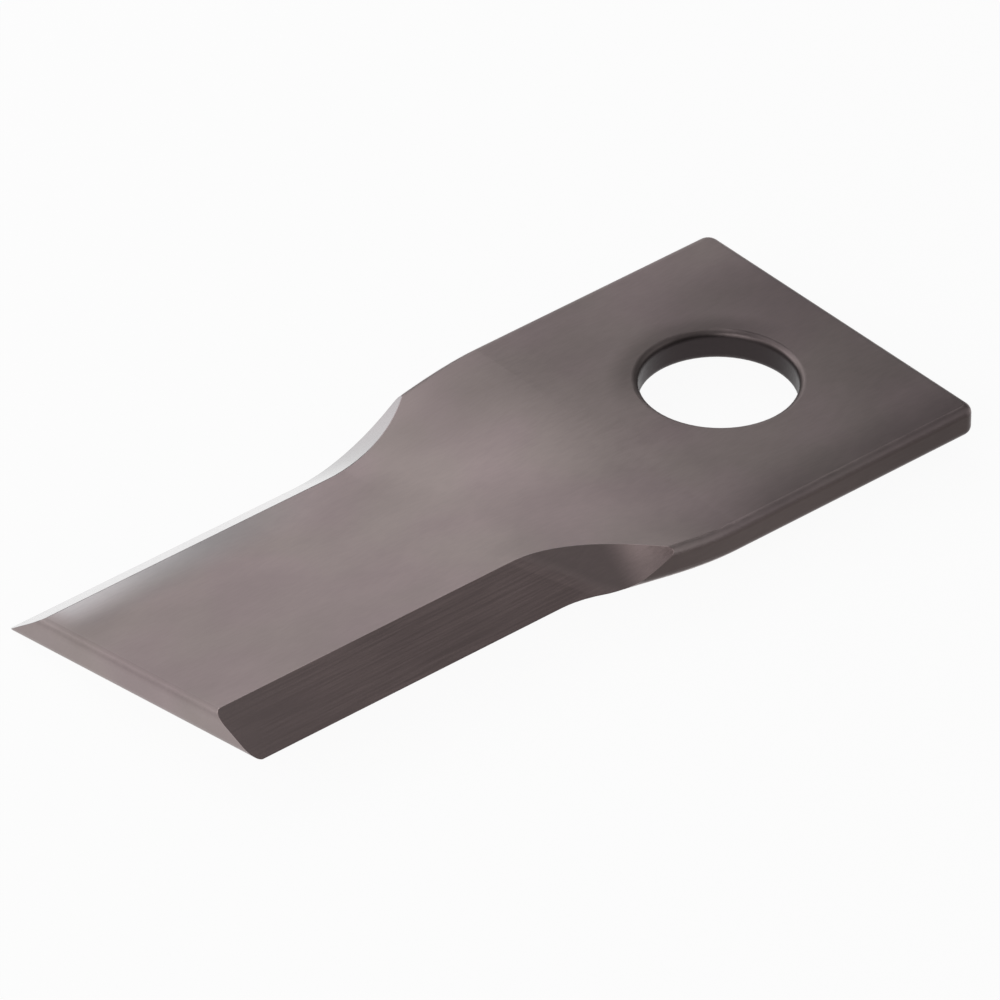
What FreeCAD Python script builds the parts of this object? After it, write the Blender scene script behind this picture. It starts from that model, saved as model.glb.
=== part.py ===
import FreeCAD, Part
import math
import os

# Rotary mower blade, in millimetres. The origin is the centre of the bolt hole at
# half thickness, +X points to the cutting tip, +Y to the side that the twist lifts
# and +Z is the axis of the hole.

# Spring steel bar
length = 110.0
width = 48.0
thickness = 4.0
edge_radius = 1.1           # every edge of the blank, before it is ground
head_corner_radius = 1.6    # the head's two corners, seen from above

# Bolt hole
hole_diameter = 19.1
hole_to_head_end = 19.7
hole_rim_radius = 0.9

# Twist between the head and the cutting part
twist_angle = 8.4
twist_start = 18.0          # from the hole centre
twist_length = 26.0
twist_stations = 13

# Ground cutting bevels, both on the upper face
bevel_angle = 29.0
wheel_radius = 33.0
near_bevel_width = 9.1
near_bevel_start = 45.5     # where the bevel's upper border turns off, from the hole centre
near_wheel_skew = 35.0      # turn of the wheel's axis from the bevel's slope, towards the head
far_bevel_width = 7.0
far_bevel_start = 46.5
far_wheel_skew = 0.0

cut_margin = 5.0            # reach of every cut outside the bar

half_width = width / 2
half_thickness = thickness / 2
tip_x = length - hole_to_head_end
twist_end = twist_start + twist_length
ORIGIN = FreeCAD.Vector(0, 0, 0)
X_AXIS = FreeCAD.Vector(1, 0, 0)
Z_AXIS = FreeCAD.Vector(0, 0, 1)


def at(y, z):
    """A point of the bar's cross section, in the plane x = 0."""
    return FreeCAD.Vector(0, y, z)


def corner_arc(centre, radius, from_angle):
    """Quarter circle of the cross section, turning from +Y towards +Z."""
    points = []
    for turn in (0, 45, 90):
        angle = math.radians(from_angle + turn)
        points.append(centre + at(radius * math.cos(angle), radius * math.sin(angle)))
    return Part.Arc(*points).toShape()


def bar_section(x, angle):
    """Outline of the rolled bar at one place along its length, turned by the twist there."""
    r = edge_radius
    y = half_width - r
    z = half_thickness - r
    edges = [
        Part.makeLine(at(-y, -half_thickness), at(y, -half_thickness)),
        corner_arc(at(y, -z), r, -90),
        Part.makeLine(at(half_width, -z), at(half_width, z)),
        corner_arc(at(y, z), r, 0),
        Part.makeLine(at(y, half_thickness), at(-y, half_thickness)),
        corner_arc(at(-y, z), r, 90),
        Part.makeLine(at(-half_width, z), at(-half_width, -z)),
        corner_arc(at(-y, -z), r, 180),
    ]
    wire = Part.Wire(edges)
    wire.Placement = FreeCAD.Placement(FreeCAD.Vector(x, 0, 0), FreeCAD.Rotation(X_AXIS, angle))
    return wire


def is_upright(edge):
    return edge.BoundBox.ZLength > half_thickness


def head():
    """The flat end of the bar, with rounded corners and every edge but the neck's rounded."""
    corner = FreeCAD.Vector(-hole_to_head_end, -half_width, -half_thickness)
    block = Part.makeBox(hole_to_head_end + twist_start, width, thickness, corner)
    uprights = [edge for edge in block.Edges if is_upright(edge) and edge.BoundBox.XMax < 0]
    block = block.makeFillet(head_corner_radius, uprights)
    rims = [edge for edge in block.Edges if not is_upright(edge) and edge.BoundBox.XMin < 0]
    return block.makeFillet(edge_radius, rims)


def twist_at(share):
    """Angle at a share of the twist's length, with a smooth start and end."""
    return twist_angle * share * share * (3 - 2 * share)


def twisted_neck():
    sections = []
    for station in range(twist_stations):
        share = station / (twist_stations - 1)
        sections.append(bar_section(twist_start + share * twist_length, twist_at(share)))
    return Part.makeLoft(sections, True, False)


def cutting_part():
    """The rest of the bar up to the tip, whose edges are rounded like the long ones."""
    bar = Part.Face(bar_section(twist_end, twist_angle)).extrude(X_AXIS * (tip_x - twist_end))
    tip_edges = [edge for edge in bar.Edges if edge.BoundBox.XMin > (twist_end + tip_x) / 2]
    return bar.makeFillet(edge_radius, tip_edges)


def blank():
    return head().fuse([twisted_neck(), cutting_part()]).removeSplitter()


def ground_bevel(side, bevel_width, bevel_start, wheel_skew):
    """What a grinding wheel takes off one side of the twisted bar's upper face.

    The bevel is flat up to the tip and runs out towards the head in the wheel's own curve.
    """
    slope = math.radians(bevel_angle)
    skew = math.tan(math.radians(wheel_skew))
    down_slope = at(side * math.cos(slope), -math.sin(slope))
    outward = at(side * math.sin(slope), math.cos(slope))
    border = at(side * (half_width - bevel_width), half_thickness)
    along_axis = down_slope - X_AXIS * skew
    start = border - along_axis * cut_margin
    slope_length = thickness / math.sin(slope) + 2 * cut_margin

    def point(x, height):
        return start + X_AXIS * x + outward * height

    def on_wheel(angle):
        return point(bevel_start - wheel_radius * math.sin(angle), wheel_radius * (1 - math.cos(angle)))

    leaving = math.acos(1 - cut_margin / wheel_radius)
    beyond_tip = tip_x + cut_margin + slope_length * abs(skew)
    edges = [
        Part.makeLine(point(beyond_tip, 0), point(bevel_start, 0)),
        Part.Arc(on_wheel(0), on_wheel(leaving / 2), on_wheel(leaving)).toShape(),
        Part.makeLine(on_wheel(leaving), point(beyond_tip, cut_margin)),
        Part.makeLine(point(beyond_tip, cut_margin), point(beyond_tip, 0)),
    ]
    cutter = Part.Face(Part.Wire(edges)).extrude(along_axis * slope_length)
    cutter.rotate(ORIGIN, X_AXIS, twist_angle)
    return cutter


def bolt_hole():
    """The hole with both of its rims rounded."""
    r = hole_diameter / 2
    rim = hole_rim_radius
    half_way = rim * (1 - math.sqrt(0.5))
    above = half_thickness + cut_margin

    def point(radius, z):
        return FreeCAD.Vector(radius, 0, z)

    def rim_arc(level):
        outer = point(r + rim, level * half_thickness)
        middle = point(r + half_way, level * (half_thickness - half_way))
        inner = point(r, level * (half_thickness - rim))
        return Part.Arc(outer, middle, inner).toShape()

    edges = [
        Part.makeLine(point(0, -above), point(r + rim, -above)),
        Part.makeLine(point(r + rim, -above), point(r + rim, -half_thickness)),
        rim_arc(-1),
        Part.makeLine(point(r, rim - half_thickness), point(r, half_thickness - rim)),
        rim_arc(1),
        Part.makeLine(point(r + rim, half_thickness), point(r + rim, above)),
        Part.makeLine(point(r + rim, above), point(0, above)),
        Part.makeLine(point(0, above), point(0, -above)),
    ]
    return Part.Face(Part.Wire(edges)).revolve(ORIGIN, Z_AXIS, 360)


def mower_blade():
    near_bevel = ground_bevel(1, near_bevel_width, near_bevel_start, near_wheel_skew)
    far_bevel = ground_bevel(-1, far_bevel_width, far_bevel_start, far_wheel_skew)
    return blank().cut([near_bevel, far_bevel, bolt_hole()]).removeSplitter()


def export(name, shape):
    if len(shape.Solids) != 1 or not shape.isValid():
        raise RuntimeError(name + " is not one valid solid")
    solid = shape.Solids[0]
    solid.exportStep("parts/" + name + ".step")
    box = solid.BoundBox
    print(name, round(solid.Volume, 1), "mm3", [round(v, 2) for v in (box.XLength, box.YLength, box.ZLength)])


os.makedirs("parts", exist_ok=True)
export("mower_blade", mower_blade())
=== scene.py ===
import math

import bpy
from mathutils import Matrix, Vector


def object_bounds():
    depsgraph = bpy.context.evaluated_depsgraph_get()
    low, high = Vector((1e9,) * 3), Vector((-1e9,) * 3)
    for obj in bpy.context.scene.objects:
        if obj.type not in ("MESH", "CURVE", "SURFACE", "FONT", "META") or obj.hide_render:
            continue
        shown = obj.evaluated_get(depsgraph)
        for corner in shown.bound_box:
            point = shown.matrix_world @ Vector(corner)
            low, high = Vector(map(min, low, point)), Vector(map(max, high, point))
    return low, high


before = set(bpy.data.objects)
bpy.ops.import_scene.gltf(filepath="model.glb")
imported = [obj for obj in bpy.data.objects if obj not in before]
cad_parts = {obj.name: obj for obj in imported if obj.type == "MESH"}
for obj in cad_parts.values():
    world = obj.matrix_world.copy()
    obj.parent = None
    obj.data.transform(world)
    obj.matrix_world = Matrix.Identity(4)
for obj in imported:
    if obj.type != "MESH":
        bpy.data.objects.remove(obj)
cad_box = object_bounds()

# The photograph's camera, solved from the blade's outline
IMAGE_SIZE = 1000               # pixels
HOLE_PIXEL = (718.6, 392.2)     # where the centre of the bolt hole lies
PIXELS_PER_METRE = 8400         # at the bolt hole
CAMERA_DISTANCE = 1.637         # metres from the bolt hole
CAMERA_AZIMUTH = 137.97         # degrees
CAMERA_ELEVATION = 35.19
CAMERA_ROLL = 0.97
SENSOR = 36                     # millimetres
VIEW_DEPTH = 100                # metres

# Sizes of the blade that the finish follows, in millimetres and degrees. The origin is the
# centre of the bolt hole, +X points to the tip and +Y to the side nearest to the camera.
MILLIMETRES_PER_METRE = 1000
HALF_WIDTH = 24.0
HALF_THICKNESS = 2.0
TIP_X = 90.3
HOLE_RADIUS = 9.55
RIM_RADIUS = 10.45              # outer border of the hole's rounding
TWIST_ANGLE = 8.4
BEVEL_ANGLE = 29.0
WHEEL_RADIUS = 33.0
NEAR_BEVEL_WIDTH = 9.1
NEAR_BEVEL_START = 45.5
NEAR_SKEW = 35.0                # turn of the grinding wheel's axis towards the head
FAR_BEVEL_WIDTH = 7.0
FAR_BEVEL_START = 46.5
FAR_SKEW = 0.0
FAR_BORDER = FAR_BEVEL_WIDTH - HALF_WIDTH   # of the rolled face, across the cutting part
ON_WHEEL = 0.03                 # a surface this close to the wheel's is ground
OFF_WHEEL = 0.07                # and one this far away isn't
# Middle and reach of the painted highlight on the twisted neck
NECK_MIDDLE = 27.0
NECK_HIGHLIGHT_REACH = 12.0
TIP_FADE = (TIP_X + 0.7, TIP_X - 4.3)       # patches end here, at the tip's rounded edge
TO_RUN_OUT_POINT = (-0.99, 0.39, 0.53)      # direction in which the near run-out narrows

# Colours of the steel, some of which carry painted light and shade
ROLLED_RED = (0.335, 0.272, 0.274, 1)
ROLLED_BROWN = (0.326, 0.274, 0.266, 1)
# Cooler tint of the painted reflection near the far border
FAR_BORDER_REFLECTION_TINT = (0.3, 0.284, 0.288, 1)
# Dark scale of the sides, made darker than scale alone as painted shade
SCALE_AND_SHADE_OF_HEAD = (0.067, 0.052, 0.05, 1)
SCALE_AND_SHADE_OF_NECK = (0.09, 0.07, 0.067, 1)
# Painted shadow along the lower edges of the sides
LOWER_EDGE_SHADOW = (0.035, 0.028, 0.028, 1)
# Scale in the bolt hole, darker still as painted shade in the hole
SCALE_AND_SHADE_IN_HOLE = (0.045, 0.037, 0.038, 1)
NEAR_GROUND = (0.42, 0.32, 0.315, 1)
# The far bevel's ground steel, painted darker than the near one as shade on its bright reflection
FAR_GROUND_SHADED = (0.305, 0.268, 0.28, 1)

# Surface of the steel
ROLLED_ROUGHNESS = (0.39, 0.46)  # lowest and highest
GROUND_ROUGHNESS = (0.17, 0.24)
BUMP_STRENGTH = 0.06
BUMP_DISTANCE = 0.00005         # metres
OIL_ROUGHNESS = 0.1
OIL_IOR = 1.5

# Studio
FLOOR_SIZE = 6.0                # metres
FLOOR_GREY = 0.9
FLOOR_WHITE_SHARE = 0.94        # the rest keeps the shadow that falls on it
ROOM_GREY = 0.13
LAMP_AIM = (0.035, 0, 0)        # metres, the middle of the blade
LAMPS = (
    # name, azimuth and elevation in degrees, distance and size in metres, watts
    ("high", 0, 50, 0.5, 0.5, 0.74),
    ("low", -36, 14, 0.5, 0.4, 0.15),
    ("right", 45, 22, 0.5, 0.5, 0.44),
    ("left", 232, 25, 0.5, 0.5, 0.16),
    ("top", 0, 88, 0.5, 0.5, 0.16),
    ("front", 110, 28, 1.0, 0.8, 4.5),
)


def sine_and_cosine(degrees):
    return math.sin(math.radians(degrees)), math.cos(math.radians(degrees))


def look_from(azimuth, elevation, roll=0):
    """Right, up and back vectors of a view; azimuth 0 looks along +Y."""
    a, e, r = (math.radians(angle) for angle in (azimuth, elevation, roll))
    right = Vector((math.cos(a), math.sin(a), 0))
    back = Vector((math.sin(a) * math.cos(e), -math.cos(a) * math.cos(e), math.sin(e)))
    up = back.cross(right)
    return (right * math.cos(r) + up * math.sin(r), up * math.cos(r) - right * math.sin(r), back)


def photograph_camera():
    right, up, back = look_from(CAMERA_AZIMUTH, CAMERA_ELEVATION, CAMERA_ROLL)
    middle = IMAGE_SIZE / 2
    across = (middle - HOLE_PIXEL[0]) / PIXELS_PER_METRE
    down = (middle - HOLE_PIXEL[1]) / PIXELS_PER_METRE
    aim = right * across - up * down
    place = back * CAMERA_DISTANCE
    to_camera = (place - aim).normalized()
    side = up.cross(to_camera).normalized()
    turn = Matrix((side, to_camera.cross(side), to_camera)).transposed()

    lens = bpy.data.cameras.new("photo_camera")
    lens.sensor_fit = "HORIZONTAL"
    lens.sensor_width = SENSOR
    lens.lens = SENSOR * PIXELS_PER_METRE * CAMERA_DISTANCE / IMAGE_SIZE
    lens.clip_end = VIEW_DEPTH
    camera = bpy.data.objects.new("photo_camera", lens)
    camera.matrix_world = Matrix.Translation(place) @ turn.to_4x4()
    bpy.context.collection.objects.link(camera)
    bpy.context.scene.camera = camera


def area_lamp(name, azimuth, elevation, distance, size, watts):
    """A soft square lamp, placed by its direction from the blade and turned towards it."""
    right, up, back = look_from(azimuth, elevation)
    lamp = bpy.data.lights.new(name, "AREA")
    lamp.shape = "SQUARE"
    lamp.size = size
    lamp.energy = watts
    holder = bpy.data.objects.new(name, lamp)
    turn = Matrix((right, up, back)).transposed()
    holder.matrix_world = Matrix.Translation(Vector(LAMP_AIM) + back * distance) @ turn.to_4x4()
    bpy.context.collection.objects.link(holder)


class Shading:
    """A material's node tree, with short ways to write its values."""

    def __init__(self, name):
        self.material = bpy.data.materials.new(name)
        self.material.use_nodes = True
        self.nodes = self.material.node_tree.nodes
        self.links = self.material.node_tree.links
        self.nodes.clear()

    def feed(self, socket, value):
        if isinstance(value, bpy.types.NodeSocket):
            self.links.new(value, socket)
        else:
            socket.default_value = value

    def show(self, surface):
        output = self.nodes.new("ShaderNodeOutputMaterial")
        self.links.new(surface, output.inputs["Surface"])
        return self.material

    def compute(self, operation, *values):
        node = self.nodes.new("ShaderNodeMath")
        node.operation = operation
        for socket, value in zip(node.inputs, values):
            self.feed(socket, value)
        return node.outputs[0]

    def chain(self, operation, values):
        result = values[0]
        for value in values[1:]:
            result = self.compute(operation, result, value)
        return result

    def total(self, *values):
        return self.chain("ADD", values)

    def times(self, *values):
        return self.chain("MULTIPLY", values)

    def largest(self, *values):
        return self.chain("MAXIMUM", values)

    def less(self, value, taken):
        return self.compute("SUBTRACT", value, taken)

    def distance(self, first, second):
        """Length of the two sides' diagonal."""
        return self.compute("SQRT", self.total(self.times(first, first), self.times(second, second)))

    def step(self, value, begin, end, before=0.0, after=1.0):
        """Smooth change between two limits, of which the first may also be the higher one."""
        node = self.nodes.new("ShaderNodeMapRange")
        node.interpolation_type = "SMOOTHSTEP"
        self.feed(node.inputs["Value"], value)
        node.inputs["From Min"].default_value = begin
        node.inputs["From Max"].default_value = end
        node.inputs["To Min"].default_value = before
        node.inputs["To Max"].default_value = after
        return node.outputs["Result"]

    def patch(self, *measures, strength=1.0):
        """A strength inside a patch and 0 outside it.

        Each measure has the value where the patch begins and the value from which it is full.
        """
        return self.times(*[self.step(*measure) for measure in measures], strength)

    def mix(self, share, first, second):
        node = self.nodes.new("ShaderNodeMix")
        node.data_type = "RGBA"
        colours = [socket for socket in node.inputs if socket.type == "RGBA"]
        self.feed(node.inputs["Factor"], share)
        self.feed(colours[0], first)
        self.feed(colours[1], second)
        return next(socket for socket in node.outputs if socket.type == "RGBA")

    def scaled(self, vector, factor):
        node = self.nodes.new("ShaderNodeVectorMath")
        node.operation = "SCALE"
        self.feed(node.inputs[0], vector)
        self.feed(node.inputs["Scale"], factor)
        return node.outputs["Vector"]

    def split(self, vector):
        node = self.nodes.new("ShaderNodeSeparateXYZ")
        self.feed(node.inputs["Vector"], vector)
        return node.outputs

    def noise(self, place, stretch, size, detail):
        """Noise from 0 to 1 with grains of a size in millimetres, stretched per axis."""
        mapping = self.nodes.new("ShaderNodeMapping")
        self.links.new(place, mapping.inputs["Vector"])
        mapping.inputs["Scale"].default_value = [1 / (size * s) for s in stretch]
        node = self.nodes.new("ShaderNodeTexNoise")
        node.inputs["Scale"].default_value = 1.0
        node.inputs["Detail"].default_value = detail
        self.links.new(mapping.outputs["Vector"], node.inputs["Vector"])
        return node.outputs["Fac"]


class BladeSurface:
    """Places on the blade in millimetres, directions of its surface and what was ground."""

    def __init__(self, shade):
        source = shade.nodes.new("ShaderNodeTexCoord")
        self.place = shade.scaled(source.outputs["Object"], MILLIMETRES_PER_METRE)
        self.x, self.y, self.z = shade.split(self.place)
        self.facing_x, self.facing_y, self.facing_z = shade.split(source.outputs["Normal"])
        self.radius = shade.distance(self.x, self.y)

        # The cutting part's own axes, turned by the twist; "above" counts from its upper face
        sine, cosine = sine_and_cosine(TWIST_ANGLE)
        self.across = shade.total(shade.times(self.y, cosine), shade.times(self.z, sine))
        level = shade.less(shade.times(self.z, cosine), shade.times(self.y, sine))
        self.above = shade.less(level, HALF_THICKNESS)

        # Long sides and the wall of the bolt hole, which keep a dark scale that is partly painted shade
        self.side = shade.step(shade.compute("ABSOLUTE", self.facing_y), 0.74, 1.0)
        self.hole_wall = shade.step(self.radius, HOLE_RADIUS + 0.3, HOLE_RADIUS - 0.05)

        self.near = self.ground(shade, 1, NEAR_BEVEL_WIDTH, NEAR_BEVEL_START, NEAR_SKEW)
        self.far = self.ground(shade, -1, FAR_BEVEL_WIDTH, FAR_BEVEL_START, FAR_SKEW)
        self.bare = shade.times(shade.largest(self.near, self.far), shade.less(1.0, self.side))

    def distance_towards(self, shade, direction):
        """How far a point lies in a direction from the centre of the bolt hole."""
        along = zip((self.x, self.y, self.z), direction)
        return shade.total(*[shade.times(place, share) for place, share in along])

    def ground(self, shade, side, bevel_width, bevel_start, skew):
        """Share of the surface that lies on the path of one grinding wheel."""
        sine, cosine = sine_and_cosine(BEVEL_ANGLE)
        outside = shade.less(shade.times(self.across, side), HALF_WIDTH - bevel_width)
        height = shade.total(shade.times(outside, sine), shade.times(self.above, cosine))
        down = shade.less(shade.times(outside, cosine), shade.times(self.above, sine))
        along = shade.total(self.x, shade.times(down, math.tan(math.radians(skew))))
        behind = shade.largest(shade.less(bevel_start, along), 0.0)
        reach = shade.distance(behind, shade.less(WHEEL_RADIUS, height))
        gap = shade.compute("ABSOLUTE", shade.less(WHEEL_RADIUS, reach))
        return shade.step(gap, OFF_WHEEL, ON_WHEEL)


def rolled_light_and_shade(shade, on):
    """Painted light and shade over the rolled face, as soft changes of tone in places given in
    millimetres.
    """
    # Painted highlight on the twisted neck
    from_neck = shade.compute("DIVIDE", shade.less(on.x, NECK_MIDDLE), NECK_HIGHLIGHT_REACH)
    neck_hump = shade.compute("EXPONENT", shade.times(from_neck, from_neck, -1))
    neck_highlight = shade.times(neck_hump, shade.patch((on.y, -17.0, 0.0), strength=0.24))
    # Painted highlight on the rolled face near the far border, towards the tip
    far_border_highlight = shade.patch(
        (on.across, FAR_BORDER + 5.5, FAR_BORDER - 1.2), (on.x, 60.0, 86.0), (on.x, *TIP_FADE),
        strength=1.15)
    # Painted shade on the head's top face along its near border
    near_border_shade = shade.patch(
        (on.y, HALF_WIDTH - 8.5, HALF_WIDTH - 0.5), (on.x, 30.0, 15.0), (on.facing_y, 0.1, 0.0),
        strength=-0.36)
    # Painted shade on the far side of the bolt hole
    shade_behind_hole = shade.patch(
        (on.radius, RIM_RADIUS + 3.55, RIM_RADIUS + 0.15), (on.y, 0.0, -8.5),
        strength=-0.3)
    # Painted shade on part of the hole's rounded rim, toning down its highlight
    hole_rim_shade = shade.patch(
        (on.radius, RIM_RADIUS + 0.1, RIM_RADIUS - 0.05), (on.x, -7.2, -9.2), (on.y, 3.0, -1.0),
        strength=-0.35)
    light_and_shade_patches = shade.total(1.0, neck_highlight, far_border_highlight, near_border_shade, shade_behind_hole, hole_rim_shade)

    # Painted shade at the head's end and painted light along its far border
    head_end_shade = shade.patch((on.x, 0.0, -18.0), (on.y, -22.0, -11.0), strength=-0.18)
    head_far_border_light = shade.patch((on.y, -13.0, -22.0), (on.x, 8.0, -10.0), strength=0.2)
    head = shade.total(1.0, head_end_shade, head_far_border_light)

    # Painted light: the cutting part lighter than the head, and dimmer towards the tip
    cutting_part_lighter = shade.step(on.x, 10.0, 42.0, before=0.96, after=1.32)
    dimmer_towards_tip = shade.step(on.x, 48.0, 88.0, before=1.0, after=0.86)
    # Painted light and shade by the way a surface faces: darker where it starts to turn towards the
    # tip, lighter halfway round, darker on the end face, and darker where it faces the far side
    tip_edge_top_shade = shade.step(on.facing_x, 0.02, 0.15, before=1.0, after=0.78)
    tip_edge_highlight = shade.step(on.facing_x, 0.45, 0.72, before=1.0, after=1.3)
    tip_face_shade = shade.step(on.facing_x, 0.72, 0.95, before=1.0, after=0.85)
    far_edge_shade = shade.step(on.facing_y, -0.15, -0.5, before=1.0, after=0.8)
    edge_light_and_shade = shade.times(tip_edge_top_shade, tip_edge_highlight, tip_face_shade, far_edge_shade)
    return shade.times(light_and_shade_patches, head, edge_light_and_shade, cutting_part_lighter, dimmer_towards_tip)


def rolled_colour(shade, on, grain):
    hue = shade.noise(on.place, stretch=(1, 1, 1), size=14.0, detail=1)
    clouds = shade.noise(on.place, stretch=(1.6, 1, 1), size=9.0, detail=2)
    # Cooler tint of the painted reflection near the far border, towards the tip
    far_reflection_tint = shade.patch((on.across, FAR_BORDER + 7.5, FAR_BORDER), (on.x, 46.0, 70.0), (on.x, *TIP_FADE))
    colour = shade.mix(shade.step(hue, 0.35, 0.65), ROLLED_RED, ROLLED_BROWN)
    colour = shade.mix(far_reflection_tint, colour, FAR_BORDER_REFLECTION_TINT)
    cloud_tone = shade.step(clouds, 0.3, 0.7, before=0.95, after=1.05)
    grain_tone = shade.step(grain, 0.25, 0.75, before=0.96, after=1.04)
    return shade.scaled(colour, shade.times(rolled_light_and_shade(shade, on), cloud_tone, grain_tone))


def with_scale_and_shade(shade, on, colour):
    """Adds the dark scale of the long sides and of the hole's wall to a colour, partly painted shade,
    with a painted shadow along the lower edges.
    """
    scale_and_shade = shade.mix(shade.step(on.x, -15.0, 15.0), SCALE_AND_SHADE_OF_HEAD, SCALE_AND_SHADE_OF_NECK)
    # Painted shadow along the lower edges
    scale_and_shade = shade.mix(shade.step(on.facing_z, -0.1, -0.7), scale_and_shade, LOWER_EDGE_SHADOW)
    colour = shade.mix(shade.largest(on.side, on.hole_wall), colour, scale_and_shade)
    return shade.mix(on.hole_wall, colour, SCALE_AND_SHADE_IN_HOLE)


def ground_colour(shade, on, lines):
    """Bare steel of the bevels, with painted light and shade along their run-outs and along the bevels.
    """
    # How far a point lies beyond the start of the near run-out, along the wheel's path
    path_slope = math.tan(math.radians(NEAR_SKEW)) / math.cos(math.radians(BEVEL_ANGLE))
    path_start = NEAR_BEVEL_START + path_slope * (HALF_WIDTH - NEAR_BEVEL_WIDTH)
    beyond = shade.less(path_start, shade.total(on.x, shade.times(on.across, path_slope)))
    to_point = on.distance_towards(shade, TO_RUN_OUT_POINT)
    # Painted shade and light on the near run-out, where its turning face meets the light differently
    shaded = shade.patch((beyond, 0.0, 3.5), (to_point, -21.2, -25.7), strength=-0.53)
    lit = shade.patch((to_point, -24.0, -20.0), (on.z, 1.8, 3.2), strength=0.5)
    near_run_out_light_and_shade = shade.times(on.near, shade.total(shaded, lit))
    # Painted shade on the far run-out near its start and painted light beyond it
    far_run_out_shade = shade.patch((on.x, 54.0, 44.0), strength=-0.5)
    far_run_out_light = shade.patch((on.x, 41.5, 32.0), strength=0.6)
    far_run_out_light_and_shade = shade.times(on.far, shade.total(far_run_out_shade, far_run_out_light))
    run_out_light_and_shade = shade.total(1.0, near_run_out_light_and_shade, far_run_out_light_and_shade)

    line_tone = shade.step(lines, 0.3, 0.7, before=0.94, after=1.05)
    # Painted light: ground steel lighter near the bevels' start and dimmer towards the tip
    lighter_near_start = shade.step(on.x, 46.0, 66.0, before=1.14, after=0.97)
    dimmer_towards_tip = shade.step(on.x, 70.0, 89.0, before=1.0, after=0.74)
    colour = shade.mix(on.far, NEAR_GROUND, FAR_GROUND_SHADED)
    return shade.scaled(colour, shade.times(line_tone, lighter_near_start, dimmer_towards_tip, run_out_light_and_shade))


def steel():
    """Satin rolled steel with a dark scale on its sides, partly painted shade, oiled bare bevels, and
    painted light and shade over its faces.
    """
    shade = Shading("blade_steel_look")
    on = BladeSurface(shade)
    grain = shade.noise(on.place, stretch=(5, 1, 1), size=0.35, detail=3)
    lines = shade.noise(on.place, stretch=(40, 1, 1), size=0.22, detail=2)

    rolled = with_scale_and_shade(shade, on, rolled_colour(shade, on, grain))
    colour = shade.mix(on.bare, rolled, ground_colour(shade, on, lines))
    rolled_roughness = shade.step(grain, 0.2, 0.8, *ROLLED_ROUGHNESS)
    ground_roughness = shade.step(lines, 0.2, 0.8, *GROUND_ROUGHNESS)
    smoother = shade.times(on.bare, shade.less(ground_roughness, rolled_roughness))

    bump = shade.nodes.new("ShaderNodeBump")
    bump.inputs["Strength"].default_value = BUMP_STRENGTH
    bump.inputs["Distance"].default_value = BUMP_DISTANCE
    shade.links.new(grain, bump.inputs["Height"])

    shader = shade.nodes.new("ShaderNodeBsdfPrincipled")
    shader.inputs["Metallic"].default_value = 1.0
    shade.links.new(colour, shader.inputs["Base Color"])
    shade.links.new(shade.total(rolled_roughness, smoother), shader.inputs["Roughness"])
    shade.links.new(bump.outputs["Normal"], shader.inputs["Normal"])
    # Thin film of oil on the ground steel
    shade.links.new(on.bare, shader.inputs["Coat Weight"])
    shader.inputs["Coat Roughness"].default_value = OIL_ROUGHNESS
    shader.inputs["Coat IOR"].default_value = OIL_IOR
    return shade.show(shader.outputs["BSDF"])


def floor_material():
    """A pale floor that the camera sees as white, with the shadow that falls on it."""
    shade = Shading("pale_floor")
    surface = shade.nodes.new("ShaderNodeBsdfDiffuse")
    surface.inputs["Color"].default_value = (FLOOR_GREY, FLOOR_GREY, FLOOR_GREY, 1)
    white = shade.nodes.new("ShaderNodeEmission")
    white.inputs["Color"].default_value = (1, 1, 1, 1)
    path = shade.nodes.new("ShaderNodeLightPath").outputs
    seen = shade.largest(path["Is Camera Ray"], path["Is Glossy Ray"], path["Is Transmission Ray"])
    mix = shade.nodes.new("ShaderNodeMixShader")
    shade.links.new(shade.times(seen, FLOOR_WHITE_SHARE), mix.inputs["Fac"])
    shade.links.new(surface.outputs["BSDF"], mix.inputs[1])
    shade.links.new(white.outputs["Emission"], mix.inputs[2])
    return shade.show(mix.outputs["Shader"])


def add_floor():
    level = cad_box[0][2]
    half = FLOOR_SIZE / 2
    corners = [(-half, -half, level), (half, -half, level), (half, half, level), (-half, half, level)]
    mesh = bpy.data.meshes.new("floor")
    mesh.from_pydata(corners, [], [(0, 1, 2, 3)])
    mesh.materials.append(floor_material())
    floor = bpy.data.objects.new("floor", mesh)
    bpy.context.collection.objects.link(floor)


def add_room():
    world = bpy.data.worlds.new("studio")
    world.use_nodes = True
    nodes = world.node_tree.nodes
    nodes.clear()
    output = nodes.new("ShaderNodeOutputWorld")
    room = nodes.new("ShaderNodeBackground")
    room.inputs["Color"].default_value = (ROOM_GREY, ROOM_GREY, ROOM_GREY, 1)
    world.node_tree.links.new(room.outputs["Background"], output.inputs["Surface"])
    bpy.context.scene.world = world


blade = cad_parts["mower_blade"]
finish = steel()
for slot in blade.material_slots:
    slot.material = finish

photograph_camera()
add_floor()
add_room()
for lamp_values in LAMPS:
    area_lamp(*lamp_values)

bpy.context.scene.view_settings.view_transform = "Standard"
